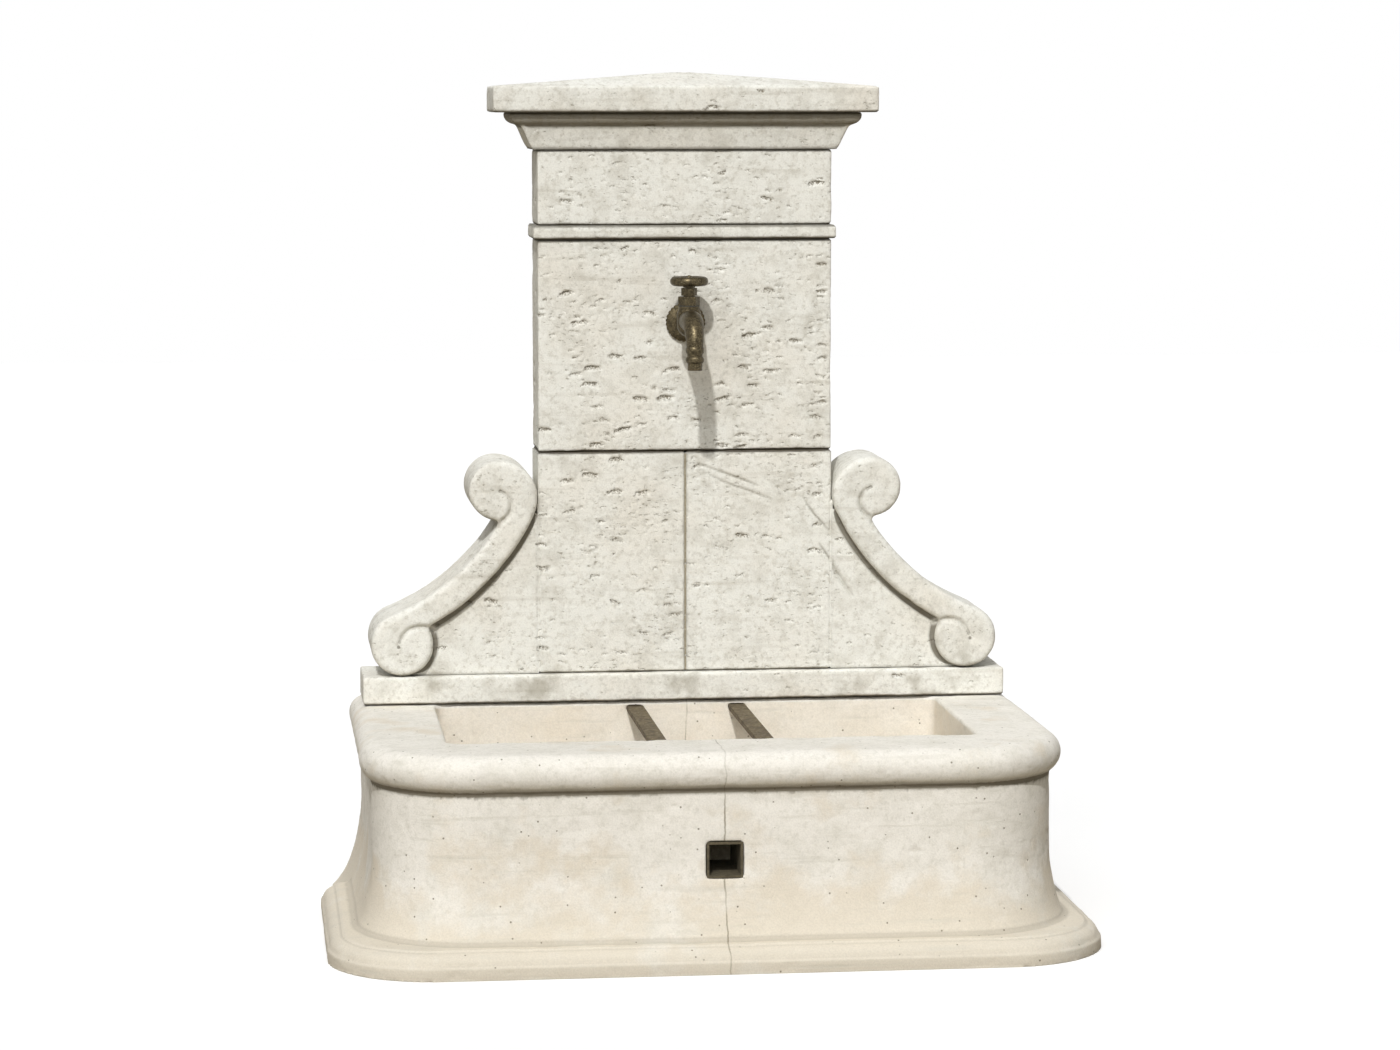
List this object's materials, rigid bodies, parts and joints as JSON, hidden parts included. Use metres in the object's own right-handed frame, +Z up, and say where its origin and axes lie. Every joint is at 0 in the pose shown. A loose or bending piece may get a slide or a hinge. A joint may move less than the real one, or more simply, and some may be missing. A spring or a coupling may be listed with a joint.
{
  "type": "garden wall fountain",
  "caption": "Cast-stone wall fountain: a rounded basin with rim and plinth, a column of blocks with scroll consoles and a cornice, and a brass screw-down tap that turns.",
  "frame": {"origin": "on the ground, at the middle of the footprint", "axes": "+Z up, front of the basin towards -Y, wall plane towards +Y, +X to the right seen from the front"},
  "size_m": [1.348, 0.812, 1.516],
  "materials": {
    "cast_stone": "matte, pitted",
    "antique_brass": "dark, tarnished",
    "wrought_iron": "rusted, matte",
    "seal_rubber": "matte",
    "dowel_steel": "satin"
  },
  "bodies": {
    "stonework": {"basin_left": "cast_stone", "basin_right": "cast_stone", "ledge": "cast_stone", "lower_block_left": "cast_stone", "lower_block_right": "cast_stone", "console_left": "cast_stone", "console_right": "cast_stone", "tap_block": "cast_stone", "string_course": "cast_stone", "frieze_block": "cast_stone", "cornice": "cast_stone", "cap": "cast_stone", "tap_rosette": "antique_brass", "tap_body": "antique_brass", "spout_nozzle": "antique_brass", "tap_bonnet": "antique_brass", "gland_nut": "antique_brass", "supply_tail": "antique_brass", "supply_locknut": "antique_brass", "drain_strainer": "antique_brass", "drain_backnut": "antique_brass", "bucket_bar_left": "wrought_iron", "bucket_bar_right": "wrought_iron", "overflow_sleeve": "wrought_iron", "overflow_grate": "wrought_iron", "gland_packing": "seal_rubber", "bonnet_washer": "seal_rubber", "supply_washer": "seal_rubber", "drain_gasket": "seal_rubber", "joint_seal": "seal_rubber", "course_dowels": "dowel_steel", "basin_pins": "dowel_steel"},
    "valve": {"jumper": "antique_brass", "jumper_washer": "seal_rubber"},
    "handwheel": {"spindle": "antique_brass", "handwheel": "antique_brass", "handwheel_screw": "antique_brass"}
  },
  "joints": [
    {"name": "jumper_lift", "type": "slide", "parent": "stonework", "child": "valve", "axis": [0, 0, 1], "range_m": [0, 0.0068]},
    {"name": "handwheel_turn", "type": "hinge", "parent": "valve", "child": "handwheel", "pos_m": [0, 0.206, 1.138], "axis": [0, 0, 1], "range_deg": [0, 810]}
  ],
  "couplings": [
    {"joint": "jumper_lift", "follows": "handwheel_turn", "m_per_rad": 0.00047746}
  ]
}
